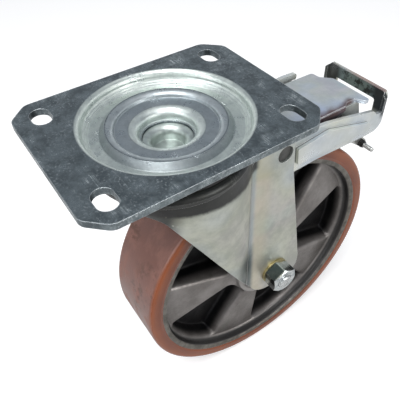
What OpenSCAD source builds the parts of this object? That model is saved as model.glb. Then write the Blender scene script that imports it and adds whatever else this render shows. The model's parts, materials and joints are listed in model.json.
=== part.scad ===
// Swivel castor with a pressed steel fork, a cast wheel with a bonded tread and a trailing brake.
// Origin: centre of the plate's mounting face, on the swivel axis. +Z up, +Y towards the trailing
// brake pedal, +X towards the side of the axle nut. Millimetres.

/* [Top plate] */
// Width of the plate, along X
plate_w = 110; // [106:0.5:130]
// Length of the plate, along Y
plate_l = 140; // [136:0.5:170]
// Thickness of the plate's sheet
plate_t = 4; // [3.5:0.1:4.4]
// Cut taken off each corner of the plate
corner_cut = 11; // [6:0.5:13]
// Rounding at both ends of a corner cut
corner_r = 7; // [3:0.5:9]
// Distance between the slots' centres, across the plate
slot_dx = 78; // [76:0.5:80]
// Distance between the slots' centres, along the plate
slot_dy = 110; // [106:0.5:114]
// Width of a bolt slot
slot_w = 11; // [9:0.1:12]
// Length of a bolt slot, end to end
slot_l = 16; // [13:0.1:17]

/* [Pressed dish] */
// Radius at which the flat rim of the plate turns down
dish_r = 48.5; // [47.5:0.1:50]
// Middle radius of the groove that runs on the upper balls
groove_r = 39.75; // [39:0.05:40.5]
// Width of the groove's flat floor
groove_w = 5.4; // [4:0.1:5.8]
// Depth of the groove below the mounting face
groove_depth = 8; // [7:0.1:8.5]
// Radius of the raised ring inside the groove
crest_r = 33.5; // [32.5:0.1:34]
// Depth of the raised ring's top
crest_depth = 4.4; // [3.5:0.1:5.5]
// Outer radius of the sunk flat ring
ring_r = 28.6; // [28:0.1:29.4]
// Inner radius of the sunk flat ring, where the funnel starts
funnel_r = 21.4; // [20.8:0.1:22.5]
// Depth of the sunk flat ring
ring_depth = 7.6; // [6.5:0.1:8.5]
// Radius of the funnel's wall and of the seat at its bottom
seat_r = 16; // [15.4:0.1:16.4]
// Depth of that seat
seat_depth = 14.1; // [13.6:0.1:14.4]

/* [Kingpin and ball races] */
// Radius of the kingpin's shank
kingpin_r = 12; // [10.5:0.1:12.4]
// Radius of the kingpin's rolled upper lip
kingpin_lip_r = 14.5; // [14:0.1:14.9]
// Radius of the kingpin's blind bore
kingpin_bore_r = 9; // [6:0.1:9.5]
// Depth of the bore's floor below the mounting face
kingpin_floor = 23.3; // [21:0.1:28]
// Radius of the formed head under the lower race
kingpin_head_r = 17.5; // [15:0.1:20]
// Thickness of that formed head
kingpin_head_t = 5; // [3:0.1:6]
// Radius of the balls in both rings
ball_r = 3; // [2.8:0.05:3.1]
// Middle radius of the lower ring of balls
lower_ball_ring_r = 24.6; // [24.2:0.1:25.5]
// Number of balls in the upper ring
upper_ball_count = 36; // [24:2:38]
// Number of balls in the lower ring
lower_ball_count = 22; // [16:2:24]
// Gap between a ball and each race
ball_gap = 0.1; // [0.05:0.01:0.12]
// Depth of the shallow track that holds each ring of balls
track_depth = 0.6; // [0.4:0.05:0.8]
// Thickness of the lower race
lower_race_t = 4; // [3:0.1:5]
// Outer radius of the lower race
lower_race_r = 31; // [29:0.5:33]

/* [Fork] */
// Thickness of the fork's sheet
fork_t = 4; // [3.5:0.1:4.2]
// Thickness of the fork's head around the ball tracks
head_t = 4.5; // [4:0.1:5]
// Radius of the round swivel head
head_r = 47.5; // [46.5:0.1:48.5]
// Gap between the hub and the inner face of a leg
hub_gap = 2; // [1.5:0.1:3]
// Radius of the bend between a wing and its leg
bend_r = 8; // [5:0.5:9]
// Distance of the axle behind the swivel axis
axle_y = 60; // [56:0.5:62]
// Depth of the axle below the mounting face
axle_z = 146; // [145:0.5:150]
// Depth of the legs' free top edges
leg_top = 28.7; // [27:0.1:30]
// Distance of the legs' rear edges behind the swivel axis, at the top
leg_rear_y = 66.5; // [66:0.5:68]
// Distance from the axle to the rear edge of a leg
leg_rear_overhang = 23.6; // [21:0.1:25]
// Distance from the axle to the lowest edge of a leg
leg_bottom_drop = 17.6; // [16:0.1:19]
// Depth of the skirt's front edge
skirt_z = 38; // [34:0.5:42]
// Depth at which the flare of the wings runs out
flare_end = 182; // [176:1:200]

/* [Axle] */
// Radius of the axle bolt
axle_r = 6; // [5:0.1:6.2]
// Width across flats of the axle's nut and head
axle_hex = 19; // [17:0.5:20]
// Height of the axle nut
nut_h = 11; // [8:0.1:12]
// Height of the axle bolt's head
axle_head_h = 7.5; // [6:0.1:9]
// Length of thread that stands out of the nut
thread_out = 1.6; // [0.5:0.1:4]
// Outer radius of the washers
washer_r = 11; // [10:0.1:13]
// Thickness of the washers
washer_t = 1.5; // [1:0.1:3]
// Running clearance on radius of a pin in its hole
pin_fit = 0.08; // [0.03:0.01:0.1]

/* [Wheel] */
// Outer radius of the cast rim, under the tread
rim_r = 90.4; // [87:0.1:91]
// Thickness of the tread on the rim
tread_t = 9.6; // [8:0.1:10]
// Width of the tread
tread_w = 48; // [44:0.5:49]
// Rounding of the tread's shoulders
tread_round = 3.2; // [1.5:0.1:5]
// Width over the two edges of the rim
rim_w = 47; // [42:0.1:47.4]
// Thickness of the rim's edge
rim_t = 3.6; // [3:0.1:7]
// Radius of the hub
hub_r = 27.2; // [26.5:0.1:29]
// Length of the hub
hub_l = 53; // [51:0.5:55]
// Number of spokes on each side
spoke_count = 5; // [3:1:7]
// Width of a spoke where it leaves the hub
spoke_root_w = 13; // [9:0.5:16]
// Width of a spoke where it meets the rim
spoke_rim_w = 45; // [30:0.5:50]
// Height of the spokes' faces over the wheel's middle plane, at the hub
spoke_hub_h = 21.5; // [18:0.1:23]
// Height of the spokes' faces over the wheel's middle plane, at the rim
spoke_rim_h = 16; // [12:0.1:19]
// Thickness of the web between the pockets
web_t = 7; // [4:0.5:10]

/* [Wheel bearings] */
// Outer radius of a bearing
bearing_r = 23.5; // [22:0.1:23.8]
// Bore radius of a bearing
bearing_bore_r = 10; // [9:0.1:10.4]
// Width of a bearing
bearing_w = 14; // [12:0.5:15]
// Number of balls in a bearing
bearing_ball_count = 8; // [6:1:9]
// Radius of a bearing's balls
bearing_ball_r = 3.95; // [3.5:0.05:4.1]

/* [Brake] */
// Depth of the brake's pivot below the mounting face
pivot_z = 35; // [34.5:0.1:36]
// Distance of the brake's pivot behind the swivel axis
pivot_y = 59.6; // [59:0.1:60]
// Radius of the brake's pivot pin
pivot_r = 5.7; // [5:0.1:5.9]
// Distance that the pin's ends lie below the legs' outer faces
pin_recess = 1.4; // [0.5:0.1:2]
// Thickness of the pedal's sheet
pedal_t = 2.5; // [2:0.1:2.8]
// Distance of the pedal's front face behind the swivel axis
pedal_y = 155.7; // [153:0.1:160]
// Height of the panel pressed out of each side of the pedal
panel_h = 3; // [1.5:0.1:3.2]
// Thickness of the brake plate's sheet
brake_t = 2.5; // [2:0.1:2.8]
// Half of the brake plate's width over its flanges
brake_half_w = 22.3; // [21.5:0.1:22.6]
// Distance of the brake plate's end behind the swivel axis
brake_plate_y = 137.5; // [134:0.5:143]
// Height of the bar across the pedal's raised front
pedal_bar_h = 9.2; // [7:0.1:12]
// Angle that the shoe turns through to reach the tread, degrees
shoe_swing = 5; // [4.5:0.1:5.5]
// Thickness of the shoe's pad
shoe_t = 3; // [2.5:0.1:3.2]
// Half of the shoe's width
shoe_half_w = 20.5; // [17:0.1:21]
// Radius of the bolt across the shoe
shoe_bolt_r = 1.6; // [1.5:0.1:2.1]

/* [Hidden] */
$fn = 96;
eps = 0.01;

// Plate: wall of the drawn dish, its steep part and its outer edge
drawn_t = 0.8*plate_t;
dish_wall_r = dish_r - 2.9;
dish_wall_z = 4.6;
dish_edge = dish_r + 2;
lip_sink = 2.2;

// Depths of the stack on the swivel axis
seat_under = seat_depth + plate_t;
head_top = groove_depth + plate_t + 2*(ball_r + ball_gap) - track_depth;
head_under = head_top + head_t;
upper_ball_z = groove_depth + plate_t + ball_gap + ball_r;
lower_ball_z = head_under - track_depth + ball_gap + ball_r;
race_top = lower_ball_z + ball_r + ball_gap - track_depth;
race_under = race_top + lower_race_t;
track_r = ball_r + 2*ball_gap;
kingpin_fit = 0.1;
sleeve_r = seat_r + 1.4;
head_hole_r = sleeve_r + 3;

// Fork
leg_in = hub_l/2 + hub_gap;
leg_out = leg_in + fork_t;
shoulder_r = 4;
bend_y = sqrt(head_r*head_r - leg_out*leg_out);
flare_top = head_top + shoulder_r;
flare_half = atan(2*head_r/(flare_end - flare_top))/2;
fork_overlap = 3;
leg_foot = [axle_y - 14.4, -axle_z - leg_bottom_drop];
wing_knee = [20, -118.6];

// Wheel
wheel_r = rim_r + tread_t;
axle_pos = [0, axle_y, -axle_z];
bearing_in = hub_l/2 - 2.3 - bearing_w;
bearing_out = bearing_in + bearing_w;
ring_pitch = (bearing_r + bearing_bore_r)/2;
ring_wall = 3.7;
pocket_r = rim_r - rim_t - 1.2;

// Brake
pedal_out = leg_in - 0.4;
pedal_in = pedal_out - pedal_t;
pivot_hole_r = pivot_r + pin_fit;
plate_top = 31;
brake_end_y = pivot_y + 60;
pedal_bar_top = 3.6;
shoe_gap = 0.5;
shoe_hex = 5.5;
shoe_bolt_off = wheel_r + shoe_gap + shoe_bolt_r + 2.5;
shoe_bolt_angle = 43.4;
shoe_bolt_out = 11.5;
shoe_touch = 52;
shoe_a0 = shoe_bolt_angle + 3;
shoe_a1 = 66;

// Return spring
spring_turns = 7;
spring_wire_r = 0.9;
spring_coil_r = pivot_r + spring_wire_r + 0.4;
spring_half = 11;
spring_front_leg = 14.2;
spring_rear_leg = 15.8;
spring_sides = 8;

// Direction at an angle, and a point given a corner radius
function unit(a) = [cos(a), sin(a)];
function with_r(p, r) = [p[0], p[1], r];

// Points of an arc about a centre, from angle a0 to angle a1
function arc(c, r, a0, a1, n = 8) =
    [for (i = [0:n]) let (a = a0 + (a1 - a0)*i/n) c + r*[cos(a), sin(a)]];

// One corner of an outline [x, y, r], rounded between the points before and after it
function corner(a, p, b, n) =
    let (p2 = [p[0], p[1]], u = [a[0], a[1]] - p2, v = [b[0], b[1]] - p2,
         u1 = u/norm(u), v1 = v/norm(v), half = acos(u1*v1)/2, mid = (u1 + v1)/norm(u1 + v1),
         c = p2 + mid*p[2]/sin(half), s = p2 + u1*p[2]/tan(half) - c, e = p2 + v1*p[2]/tan(half) - c,
         a0 = atan2(s[1], s[0]), turn = atan2(s[0]*e[1] - s[1]*e[0], s*e))
    p[2] == 0 ? [p2] : arc(c, p[2], a0, a0 + turn, n);

// An outline of points [x, y, r] with every corner rounded to its own radius
function rounded(pts, n = 6) =
    [for (i = [0:len(pts) - 1])
        each corner(pts[(i + len(pts) - 1) % len(pts)], pts[i], pts[(i + 1) % len(pts)], n)];

// A shoulder of a drawn sheet, from the top of an upright wall at p to a level face at q
function shoulder(p, q, n = 6) =
    [for (i = [0:n]) let (a = 90*i/n) [q[0] - (q[0] - p[0])*cos(a), p[1] + (q[1] - p[1])*sin(a)]];

// A side view (y, z) given thickness along X
module side_slab(x0, x1) {
    translate([x0, 0, 0]) rotate([90, 0, 90]) linear_extrude(x1 - x0) children();
}

// The same slab on both sides of the castor
module both_sides(x0, x1) {
    side_slab(x0, x1) children();
    side_slab(-x1, -x0) children();
}

// A bar along X
module bar_x(r, x0, x1, pos) {
    translate([x0, pos[1], pos[2]]) rotate([0, 90, 0]) cylinder(r = r, h = x1 - x0);
}

// A half section (radius, x) turned about the axle
module turned_on_axle() {
    translate(axle_pos) rotate([0, 90, 0]) rotate_extrude() children();
}

// A hexagonal bar along X, turned about its own axis
module hex_x(flats, x0, x1, pos, turn = 0) {
    translate([x0, pos[1], pos[2]]) rotate([turn, 0, 0]) rotate([0, 90, 0])
        cylinder(r = flats/sqrt(3), h = x1 - x0, $fn = 6);
}

module ball_ring(count, ring_r, r) {
    for (i = [0:count - 1]) rotate(360*i/count) translate([ring_r, 0, 0]) sphere(r);
}

// Shallow ring-shaped track in which a ring of balls runs
module ball_track(ring_r, depth) {
    translate([0, 0, -depth]) rotate_extrude() translate([ring_r, 0]) circle(track_r, $fn = 48);
}

// Upper surface of the pressed plate, from the kingpin outwards. Three fine steps stay from the draw
function plate_face() =
    let (bore = kingpin_r + kingpin_fit, recess = kingpin_lip_r + kingpin_fit, sunk = -seat_depth - lip_sink,
         foot = [groove_r + groove_w/2, -groove_depth], rise = [dish_wall_r, -dish_wall_z] - foot)
    concat([[bore, sunk], [recess, sunk], [recess, -seat_depth], [seat_r, -seat_depth]],
           shoulder([seat_r, -ring_depth - 4], [funnel_r, -ring_depth]), [[ring_r, -ring_depth]],
           shoulder([ring_r + 0.3, -ring_depth + 0.5], [crest_r - 0.6, -crest_depth]),
           [[crest_r + 0.3, -crest_depth], [groove_r - groove_w/2, -groove_depth], foot],
           [for (i = [1:3]) each [foot + [(i - 0.45)/3*rise[0], (i - 0.75)/3*rise[1]], foot + i/3*rise]],
           shoulder([dish_wall_r + 0.2, -dish_wall_z + 0.4], [dish_r + 0.3, 0]), [[dish_edge, 0]]);

// Lower surface of the same sheet, from its edge inwards
function plate_under() =
    let (t = plate_t, wall = dish_wall_r + drawn_t, low = -groove_depth - t, mid = -ring_depth - t,
         neck = seat_r + drawn_t)
    [[dish_edge, -t], [wall + 0.8, -t], [wall, -t - 0.8], [wall, low + 2.5], [wall - 0.9, low + 0.8],
     [wall - 2.7, low], [groove_r - groove_w/2 - 0.6, low], [crest_r + 0.8, -crest_depth - t],
     [ring_r + drawn_t + 0.9, -crest_depth - t], [ring_r + drawn_t, mid], [neck + 1.8, mid],
     [neck + 0.5, mid - 0.6], [neck, mid - 2], [neck, 1.5 - seat_under], [neck - 1.5, -seat_under],
     [kingpin_r + kingpin_fit, -seat_under]];

module top_plate() {
    color([0.45, 0.49, 0.53]) difference() {
        union() {
            rotate_extrude() polygon(concat(plate_face(), plate_under()));
            difference() {
                translate([0, 0, -plate_t]) linear_extrude(plate_t) polygon(plate_outline());
                translate([0, 0, -plate_t - 1]) cylinder(r = dish_edge - eps, h = plate_t + 2);
            }
        }
        for (sx = [-1, 1], sy = [-1, 1]) translate([sx*slot_dx/2, sy*slot_dy/2, -plate_t - 1]) {
            bolt_slot();
        }
    }
}

function plate_outline() =
    let (x = plate_w/2, y = plate_l/2, c = corner_cut, r = corner_r)
    rounded([[x - c, y, r], [-x + c, y, r], [-x, y - c, r], [-x, -y + c, r],
             [-x + c, -y, r], [x - c, -y, r], [x, -y + c, r], [x, y - c, r]], 5);

module bolt_slot() {
    reach = (slot_l - slot_w)/2;
    for (s = [-1, 1]) translate([s*reach, 0, 0]) cylinder(r = slot_w/2, h = plate_t + 2);
    translate([-reach, -slot_w/2, 0]) cube([2*reach, slot_w, plate_t + 2]);
}

// Hollow rivet: lip rolled into the plate's seat, blind bore, formed head under the lower race
module kingpin() {
    lip_under = seat_depth + lip_sink;
    lip_top = lip_under - 1.1;
    mouth = 4.4;
    color([0.72, 0.75, 0.72]) rotate_extrude() polygon(concat(
        [[0, -kingpin_floor], [kingpin_bore_r, -kingpin_floor]],
        shoulder([kingpin_bore_r, -lip_top - mouth], [kingpin_lip_r - 1, -lip_top], 8),
        arc([kingpin_lip_r - 0.5, -lip_top - 0.5], 0.5, 90, 0, 3),
        [[kingpin_lip_r, -lip_under], [kingpin_r, -lip_under], [kingpin_r, -race_under],
         [kingpin_head_r, -race_under], [kingpin_head_r, -race_under - 1.5],
         [kingpin_head_r - 3, -race_under - kingpin_head_t], [0, -race_under - kingpin_head_t]]));
}

// Sleeve that keeps the plate and the lower race apart
module race_sleeve() {
    color([0.55, 0.56, 0.57]) translate([0, 0, -race_top]) difference() {
        cylinder(r = sleeve_r, h = race_top - seat_under);
        translate([0, 0, -1]) cylinder(r = kingpin_r + kingpin_fit, h = race_top);
    }
}

module lower_race() {
    rim = lower_race_r;
    color([0.6, 0.61, 0.6]) difference() {
        rotate_extrude() polygon([[kingpin_r + kingpin_fit, -race_under], [rim - 2, -race_under],
            [rim, -race_under + 2], [rim, -race_top + 1.5], [rim - 2, -race_top + 1.5],
            [rim - 3, -race_top], [kingpin_r + kingpin_fit, -race_top]]);
        ball_track(lower_ball_ring_r, lower_ball_z);
    }
}

module upper_balls() {
    color([0.8, 0.8, 0.82]) translate([0, 0, -upper_ball_z])
        ball_ring(upper_ball_count, groove_r, ball_r);
}

module lower_balls() {
    color([0.8, 0.8, 0.82]) translate([0, 0, -lower_ball_z])
        ball_ring(lower_ball_count, lower_ball_ring_r, ball_r);
}

// Lip ring that stands on the fork's head and closes the gap under the plate's dish
module dust_seal() {
    foot_in = groove_r + ball_r + 0.4;
    foot_out = foot_in + 1.4;
    lip_gap = 0.5;
    lip = [foot_out + 0.5, -groove_depth - plate_t - lip_gap];
    color([0.08, 0.08, 0.08]) rotate_extrude() polygon([
        [foot_in, -head_top], [foot_out, -head_top], [foot_out + 0.2, -head_top + 2.1],
        lip + [0.8, -0.2], lip, [foot_in + 0.1, -head_top + 3.1]]);
}

// Outline of a leg seen from the side, as (y, z)
function leg_outline() =
    let (low = -axle_z - leg_bottom_drop, rear = axle_y + leg_rear_overhang, front = bend_y - fork_overlap)
    rounded([[front, -leg_top, 0], [leg_rear_y, -leg_top, 1.5], [leg_rear_y + 1.2, -leg_top - 22, 8],
             [rear, -axle_z, 20], [rear - 1.5, low + 0.5, 13], with_r(leg_foot, 20),
             [front, edge_z(front), 0]], 7);

// Cone that passes through the bend of one leg and closes on the swivel head's circle
module flare_cone(lift) {
    slant = lift/sin(flare_half);
    reach = 190;
    start = 3;
    spread = tan(flare_half);
    translate([leg_out, bend_y, -flare_end])
        rotate([0, 0, atan2(-bend_y, -leg_out)]) rotate([0, flare_half, 0])
            translate([0, 0, slant + start])
                cylinder(r1 = start*spread, r2 = (start + reach)*spread, h = reach, $fn = 128);
}

// Region that the near wing keeps, seen from the side
function wing_side() =
    let (top = -flare_top + 0.4, front = -head_r - 1, end = bend_y - 0.5)
    rounded([[front, top, 0], [front, -skirt_z, 0], [front + 22, -skirt_z, 12], [-4, -76.2, 60],
             with_r(wing_knee, 60), [end, edge_z(end), 0], [end, top, 0]], 6);

// Depth of the straight lower edge that wing and leg share, at a distance y behind the swivel axis
function edge_z(y) =
    wing_knee[1] + (leg_foot[1] - wing_knee[1])*(y - wing_knee[0])/(leg_foot[0] - wing_knee[0]);

module wing() {
    intersection() {
        difference() {
            flare_cone(0);
            flare_cone(fork_t);
        }
        side_slab(0, head_r + 2) polygon(wing_side());
        union() {
            translate([leg_in + 1, -60, -axle_z - 20]) cube([40, 120, axle_z + 20]);
            translate([0, -60, -skirt_z - 8]) cube([60, 60 + bend_y - 20, skirt_z + 8]);
        }
    }
}

// Fillet along the bend between a wing and its leg
module bend_fillet() {
    along_wing = [bend_y/head_r, -leg_out/head_r];
    half = acos(along_wing*[0, 1])/2;
    d = bend_r/tan(half);
    p = [leg_out, bend_y];
    mid = (along_wing + [0, 1])/norm(along_wing + [0, 1]);
    y0 = bend_y - d - 1;
    y1 = bend_y + d + 1;
    intersection() {
        translate([0, 0, -axle_z - 20]) linear_extrude(axle_z) difference() {
            polygon([p - 2.5*mid, p + d*along_wing, p + [0, d]]);
            translate(p + mid*bend_r/sin(half)) circle(bend_r);
        }
        side_slab(0, head_r) polygon([[y0, -leg_top], [y1, -leg_top], [y1, edge_z(y1)], [y0, edge_z(y0)]]);
    }
}

module fork_head() {
    r = head_r;
    rotate_extrude() polygon(concat(
        [[head_hole_r, -head_top]],
        arc([r - shoulder_r, -head_top - shoulder_r], shoulder_r, 90, 0, 8),
        [[r - 1.2, -flare_top - 3.5], [r - 1.2 - fork_t, -flare_top - 3.5],
         [r - fork_t - 4, -head_under], [head_hole_r, -head_under]]));
}

module fork_side() {
    wing();
    side_slab(leg_in, leg_out) polygon(leg_outline());
    bend_fillet();
}

module fork() {
    color([0.78, 0.79, 0.74]) difference() {
        union() {
            fork_head();
            fork_side();
            mirror([1, 0, 0]) fork_side();
        }
        ball_track(groove_r, upper_ball_z);
        ball_track(lower_ball_ring_r, lower_ball_z);
        bar_x(axle_r + pin_fit, -60, 60, axle_pos);
        bar_x(pivot_hole_r, -60, 60, [0, pivot_y, -pivot_z]);
    }
}

module axle_bolt() {
    head_x = -leg_out - washer_t;
    tip = leg_out + washer_t + nut_h + thread_out;
    color([0.7, 0.72, 0.72]) {
        bar_x(axle_r, head_x, tip, axle_pos);
        hex_x(axle_hex, head_x - axle_head_h, head_x, axle_pos);
    }
}

module axle_washers() {
    color([0.75, 0.68, 0.42]) for (x = [-leg_out - washer_t, leg_out]) difference() {
        bar_x(washer_r, x, x + washer_t, axle_pos);
        bar_x(axle_r + pin_fit, x - 1, x + washer_t + 1, axle_pos);
    }
}

module axle_nut() {
    x0 = leg_out + washer_t;
    color([0.72, 0.74, 0.74]) difference() {
        intersection() {
            hex_x(axle_hex, x0, x0 + nut_h, axle_pos);
            turned_on_axle() polygon([[0, x0], [axle_hex*0.54, x0], [axle_hex*0.6, x0 + 1.4],
                [axle_hex*0.6, x0 + nut_h - 1.6], [axle_hex*0.5, x0 + nut_h], [0, x0 + nut_h]]);
        }
        bar_x(axle_r + pin_fit, x0 - 1, x0 + nut_h + 1, axle_pos);
    }
}

// Tube between the legs that carries the bearings
module axle_tube() {
    color([0.62, 0.64, 0.66]) difference() {
        bar_x(bearing_bore_r - pin_fit, -leg_in, leg_in, axle_pos);
        bar_x(axle_r + pin_fit, -leg_in - 1, leg_in + 1, axle_pos);
    }
}

module tube_ring(x0, x1, r) {
    difference() {
        bar_x(r, x0, x1, axle_pos);
        bar_x(bearing_bore_r, x0 - 1, x1 + 1, axle_pos);
    }
}

module axle_collars() {
    color([0.66, 0.68, 0.68]) {
        tube_ring(bearing_out, leg_in, bearing_bore_r + ring_wall);
        tube_ring(-leg_in, -bearing_out, bearing_bore_r + ring_wall);
    }
}

module bearing_spacer() {
    color([0.6, 0.61, 0.63]) tube_ring(-bearing_in, bearing_in, bearing_bore_r + 3);
}

// One ring of a bearing whose inner face lies at x0, with the balls' track cut in it
module bearing_ring(x0, r_in, r_out) {
    turned_on_axle() difference() {
        translate([r_in, x0]) square([r_out - r_in, bearing_w]);
        translate([ring_pitch, x0 + bearing_w/2]) circle(bearing_ball_r + pin_fit, $fn = 48);
    }
}

module bearing_balls(x0) {
    translate(axle_pos + [x0 + bearing_w/2, 0, 0]) rotate([0, 90, 0])
        ball_ring(bearing_ball_count, ring_pitch, bearing_ball_r);
}

// Two thin seals held in the outer ring's mouth
module bearing_seals(x0) {
    inner = bearing_bore_r + ring_wall + 0.3;
    outer = bearing_r - ring_wall;
    turned_on_axle() for (x = [x0 + 0.4, x0 + bearing_w - 1.4])
        translate([inner, x]) square([outer - inner, 1]);
}

module near_inner_ring() {
    color([0.75, 0.76, 0.78]) bearing_ring(bearing_in, bearing_bore_r, bearing_bore_r + ring_wall);
}

module near_outer_ring() {
    color([0.75, 0.76, 0.78]) bearing_ring(bearing_in, bearing_r - ring_wall, bearing_r);
}

module near_bearing_balls() {
    color([0.82, 0.82, 0.84]) bearing_balls(bearing_in);
}

module near_bearing_seals() {
    color([0.1, 0.1, 0.1]) bearing_seals(bearing_in);
}

module far_inner_ring() {
    color([0.75, 0.76, 0.78]) bearing_ring(-bearing_out, bearing_bore_r, bearing_bore_r + ring_wall);
}

module far_outer_ring() {
    color([0.75, 0.76, 0.78]) bearing_ring(-bearing_out, bearing_r - ring_wall, bearing_r);
}

module far_bearing_balls() {
    color([0.82, 0.82, 0.84]) bearing_balls(-bearing_out);
}

module far_bearing_seals() {
    color([0.1, 0.1, 0.1]) bearing_seals(-bearing_out);
}

// Half section of the cast wheel on one side of its middle plane, from the hub's bore outwards
function wheel_half() =
    let (lip = rim_r - rim_t)
    [[bearing_r - 3, 0], [bearing_r - 3, bearing_in], [bearing_r, bearing_in], [bearing_r, hub_l/2 - 0.6],
     [bearing_r + 0.6, hub_l/2], [hub_r - 0.8, hub_l/2], [hub_r, hub_l/2 - 0.8],
     [hub_r + 0.6, spoke_hub_h + 1], [hub_r + 2, spoke_hub_h], [lip - 2.5, spoke_rim_h],
     [lip - 0.6, spoke_rim_h + 1.6], [lip, rim_w/2 - 0.8], [lip + 0.8, rim_w/2], [rim_r, rim_w/2]];

// Outline of the pocket between two spokes, flat side towards the hub
function pocket_outline() =
    let (r0 = hub_r + 2.6, r1 = pocket_r, step = 180/spoke_count,
         b0 = step - asin(spoke_root_w/2/r0), b1 = step - asin(spoke_rim_w/2/r1), far = r1/cos(b1/2),
         side = 0.98*r1*tan(b1/2))
    rounded([[r0*cos(b0), -r0*sin(b0), 5], [r1*cos(b1), -r1*sin(b1), 8], [far, -side, 40],
             [far, side, 40], [r1*cos(b1), r1*sin(b1), 8], [r0*cos(b0), r0*sin(b0), 5]], 7);

module wheel_centre() {
    half = wheel_half();
    other = [for (i = [len(half) - 1:-1:1]) [half[i][0], -half[i][1]]];
    color([0.5, 0.47, 0.44]) difference() {
        turned_on_axle() polygon(concat(half, other));
        translate(axle_pos) for (i = [0:spoke_count - 1]) rotate([360*(i + 0.5)/spoke_count, 0, 0])
            both_sides(web_t/2, hub_l) intersection() {
                rotate(180) polygon(pocket_outline());
                circle(pocket_r, $fn = 128);
            }
    }
}

module tread() {
    h = tread_w/2;
    r = tread_round;
    color([0.45, 0.22, 0.1]) turned_on_axle() polygon(concat(
        [[rim_r, -rim_w/2], [rim_r + 0.8, -h + 0.3], [rim_r + 2, -h]],
        arc([wheel_r - r, -h + r], r, -90, 0, 6), arc([wheel_r - r, h - r], r, 0, 90, 6),
        [[rim_r + 2, h], [rim_r + 0.8, h - 0.3], [rim_r, rim_w/2]]));
}

module pivot_pin() {
    end = leg_out - pin_recess;
    color([0.35, 0.36, 0.36]) bar_x(pivot_r, -end, end, [0, pivot_y, -pivot_z]);
}

// Rings on the pin between the brake plate's flanges and the pedal's walls
module pivot_washers() {
    gap = 0.2;
    pos = [0, pivot_y, -pivot_z];
    color([0.7, 0.71, 0.7]) for (x = [-pedal_in + gap, brake_half_w + gap]) difference() {
        bar_x(pivot_r + 3, x, x + pedal_in - brake_half_w - 2*gap, pos);
        bar_x(pivot_hole_r, x - 1, x + 6, pos);
    }
}

// Pedal seen from the side, as (y, z), with its raised front
function pedal_outline() =
    let (f = pedal_y, p = -pivot_z, top = p + pedal_bar_top)
    rounded([[pivot_y - 9, p + 8.6, 7], [pivot_y + 18, p + 5.2, 30], [f - 58, p + 3.4, 30],
             [f - 43, p + 0.4, 30], [f - 14, p - 6, 2.5], [f - 9.5, p - 10.5, 2], [f - 4.5, p - 10.5, 0],
             [f - 4.5, top, 0], [f + 1, top, 0], [f + 1, p - 11, 0], [f, p - 13, 2],
             [f - 2.4, p - 19, 6], [f - 7.6, p - 24.4, 6], [f - 17, p - 24.9, 8],
             [f - 63, p - 22.8, 30], [pivot_y + 9, p - 23.8, 8], [pivot_y - 9, p - 8, 8]], 6);

// Outline of the panel pressed out of a pedal's wall, drawn in by an inset
function panel_outline(inset) =
    let (f = pedal_y, p = -pivot_z, k = inset, r = 2.6 - 0.8*k)
    rounded([[pivot_y + 11.9 + k, p - 3.4 - k, 1], [f - 58, p - 0.6 - k, 6], [f - 17.6 - k, p - 12 - k/2, r],
             [f - 19.6 - k, p - 17.4 + k, r], [pivot_y + 12.8 + k, p - 16 + k, 1]], 5);

// Tab that stands up on the far wall beside the brake plate
function pedal_tab() =
    let (y = pivot_y + 26, p = -pivot_z)
    rounded([[y, p - 2, 0], [y, p + 4.8, 8], [y + 22, p + 6.6, 6], [y + 35, p + 5.8, 2.4], [y + 34, p + 1, 1],
             [y + 30, p + 1.6, 1.5], [y + 26, p - 4, 0]], 5);

// Plan of the pedal's folded strip: two walls and the front across them
module pedal_plan() {
    out_r = 4;
    difference() {
        polygon(rounded([[-pedal_out, pivot_y - 20, 0], [pedal_out, pivot_y - 20, 0],
                         [pedal_out, pedal_y, out_r], [-pedal_out, pedal_y, out_r]]));
        polygon(rounded([[-pedal_in, pivot_y - 21, 0], [pedal_in, pivot_y - 21, 0],
                         [pedal_in, pedal_y - pedal_t, out_r - pedal_t],
                         [-pedal_in, pedal_y - pedal_t, out_r - pedal_t]]));
    }
}

// What the pedal's raised front loses: its corners, and the window under its bar
module pedal_front_cuts() {
    top = -pivot_z + pedal_bar_top;
    cut = 5;
    half_window = 18;
    rotate([90, 0, 0]) translate([0, 0, -pedal_y - 2]) linear_extrude(8) {
        for (s = [-1, 1]) polygon([[s*(pedal_out - cut), top + 1], [s*(pedal_out + 1), top + 1],
                                   [s*(pedal_out + 1), top - cut]]);
        polygon(rounded([[-half_window, top - pedal_bar_h, 1.5], [half_window, top - pedal_bar_h, 1.5],
                         [half_window, top - 40, 0], [-half_window, top - 40, 0]]));
    }
}

module brake_pedal() {
    color([0.8, 0.82, 0.8]) difference() {
        union() {
            intersection() {
                translate([0, 0, -pivot_z - 40]) linear_extrude(60) pedal_plan();
                side_slab(-40, 40) polygon(pedal_outline());
            }
            side_slab(-pedal_out, -pedal_in) polygon(pedal_tab());
            both_sides(pedal_out - eps, pedal_out + panel_h) polygon(panel_outline(0));
        }
        both_sides(pedal_in - 1, pedal_out + panel_h - pedal_t) polygon(panel_outline(pedal_t - 0.5));
        pedal_front_cuts();
        bar_x(pivot_hole_r, -40, 40, [0, pivot_y, -pivot_z]);
    }
}

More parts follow.
